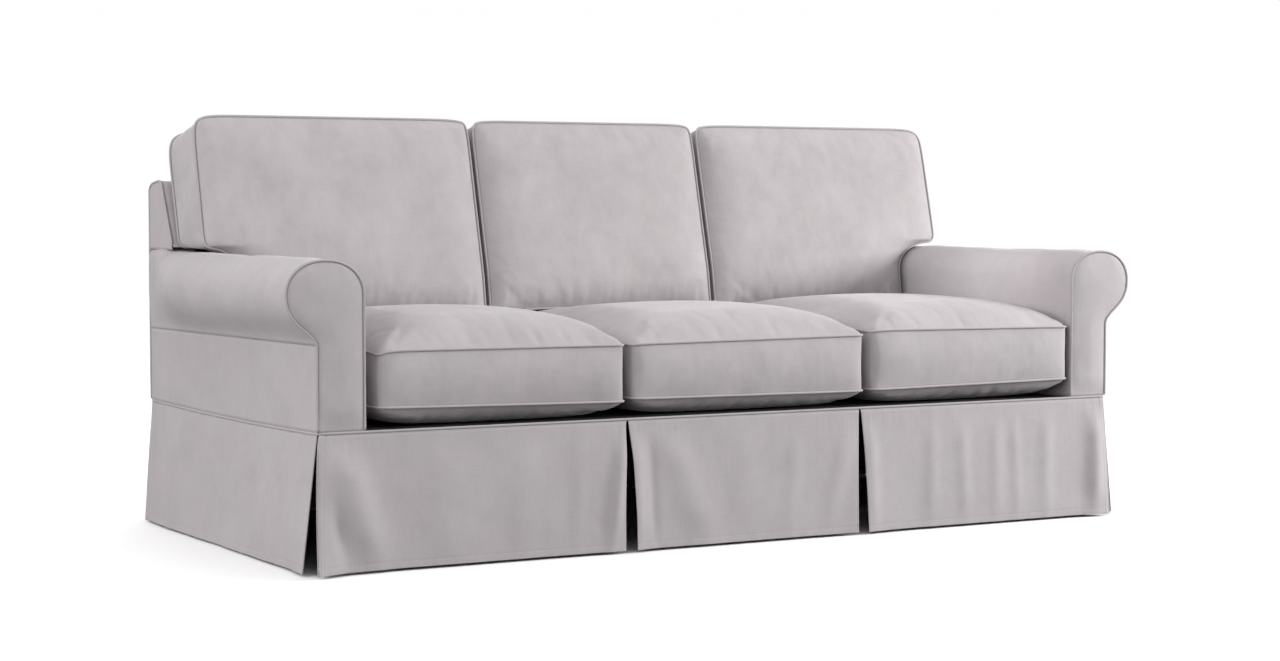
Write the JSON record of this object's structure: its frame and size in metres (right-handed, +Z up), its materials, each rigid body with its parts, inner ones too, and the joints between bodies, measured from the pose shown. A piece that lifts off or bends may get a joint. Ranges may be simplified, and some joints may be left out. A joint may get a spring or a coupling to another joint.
{
  "type": "sofa slipcover with box cushions",
  "caption": "Fitted skirted slipcover for a roll-arm sofa, with corded seams, open pleats, box seat cushions and eared back cushions.",
  "frame": {"origin": "centre of the cover's footprint, on the floor that its hem hangs just above", "axes": "+Z up, +X along the sofa to a viewer's right, and the front towards -Y"},
  "size_m": [2.162, 1.1032, 0.9464],
  "materials": {
    "arm_front_left": "brushed cotton, matt",
    "arm_front_right": "brushed cotton, matt",
    "back_cushion_left": "brushed cotton, matt",
    "back_cushion_middle": "brushed cotton, matt",
    "back_cushion_right": "brushed cotton, matt",
    "back_gusset_left": "brushed cotton, matt",
    "back_gusset_right": "brushed cotton, matt",
    "deck": "brushed cotton, matt",
    "inside_arm_left": "brushed cotton, matt",
    "inside_arm_right": "brushed cotton, matt",
    "inside_back": "brushed cotton, matt",
    "outside_arm_left": "brushed cotton, matt",
    "outside_arm_right": "brushed cotton, matt",
    "outside_back": "brushed cotton, matt",
    "seat_cushion_left": "brushed cotton, matt",
    "seat_cushion_middle": "brushed cotton, matt",
    "seat_cushion_right": "brushed cotton, matt",
    "skirt_back": "brushed cotton, matt",
    "skirt_front_left": "brushed cotton, matt",
    "skirt_front_middle": "brushed cotton, matt",
    "skirt_front_right": "brushed cotton, matt",
    "skirt_side_left": "brushed cotton, matt",
    "skirt_side_right": "brushed cotton, matt",
    "welt_arm_front_left": "corded welt in the same brushed cotton",
    "welt_arm_front_right": "corded welt in the same brushed cotton",
    "welt_back_cushion_left_face": "corded welt in the same brushed cotton",
    "welt_back_cushion_left_rear": "corded welt in the same brushed cotton",
    "welt_back_cushion_middle_face": "corded welt in the same brushed cotton",
    "welt_back_cushion_middle_rear": "corded welt in the same brushed cotton",
    "welt_back_cushion_right_face": "corded welt in the same brushed cotton",
    "welt_back_cushion_right_rear": "corded welt in the same brushed cotton",
    "welt_back_left": "corded welt in the same brushed cotton",
    "welt_back_right": "corded welt in the same brushed cotton",
    "welt_seat_cushion_left_face": "corded welt in the same brushed cotton",
    "welt_seat_cushion_left_rear": "corded welt in the same brushed cotton",
    "welt_seat_cushion_middle_face": "corded welt in the same brushed cotton",
    "welt_seat_cushion_middle_rear": "corded welt in the same brushed cotton",
    "welt_seat_cushion_right_face": "corded welt in the same brushed cotton",
    "welt_seat_cushion_right_rear": "corded welt in the same brushed cotton",
    "welt_skirt": "corded welt in the same brushed cotton"
  },
  "bodies": {
    "root": {"arm_front_left": "arm_front_left", "arm_front_right": "arm_front_right", "back_cushion_left": "back_cushion_left", "back_cushion_middle": "back_cushion_middle", "back_cushion_right": "back_cushion_right", "back_gusset_left": "back_gusset_left", "back_gusset_right": "back_gusset_right", "deck": "deck", "inside_arm_left": "inside_arm_left", "inside_arm_right": "inside_arm_right", "inside_back": "inside_back", "outside_arm_left": "outside_arm_left", "outside_arm_right": "outside_arm_right", "outside_back": "outside_back", "seat_cushion_left": "seat_cushion_left", "seat_cushion_middle": "seat_cushion_middle", "seat_cushion_right": "seat_cushion_right", "skirt_back": "skirt_back", "skirt_front_left": "skirt_front_left", "skirt_front_middle": "skirt_front_middle", "skirt_front_right": "skirt_front_right", "skirt_side_left": "skirt_side_left", "skirt_side_right": "skirt_side_right", "welt_arm_front_left": "welt_arm_front_left", "welt_arm_front_right": "welt_arm_front_right", "welt_back_cushion_left_face": "welt_back_cushion_left_face", "welt_back_cushion_left_rear": "welt_back_cushion_left_rear", "welt_back_cushion_middle_face": "welt_back_cushion_middle_face", "welt_back_cushion_middle_rear": "welt_back_cushion_middle_rear", "welt_back_cushion_right_face": "welt_back_cushion_right_face", "welt_back_cushion_right_rear": "welt_back_cushion_right_rear", "welt_back_left": "welt_back_left", "welt_back_right": "welt_back_right", "welt_seat_cushion_left_face": "welt_seat_cushion_left_face", "welt_seat_cushion_left_rear": "welt_seat_cushion_left_rear", "welt_seat_cushion_middle_face": "welt_seat_cushion_middle_face", "welt_seat_cushion_middle_rear": "welt_seat_cushion_middle_rear", "welt_seat_cushion_right_face": "welt_seat_cushion_right_face", "welt_seat_cushion_right_rear": "welt_seat_cushion_right_rear", "welt_skirt": "welt_skirt"}
  },
  "joints": []
}
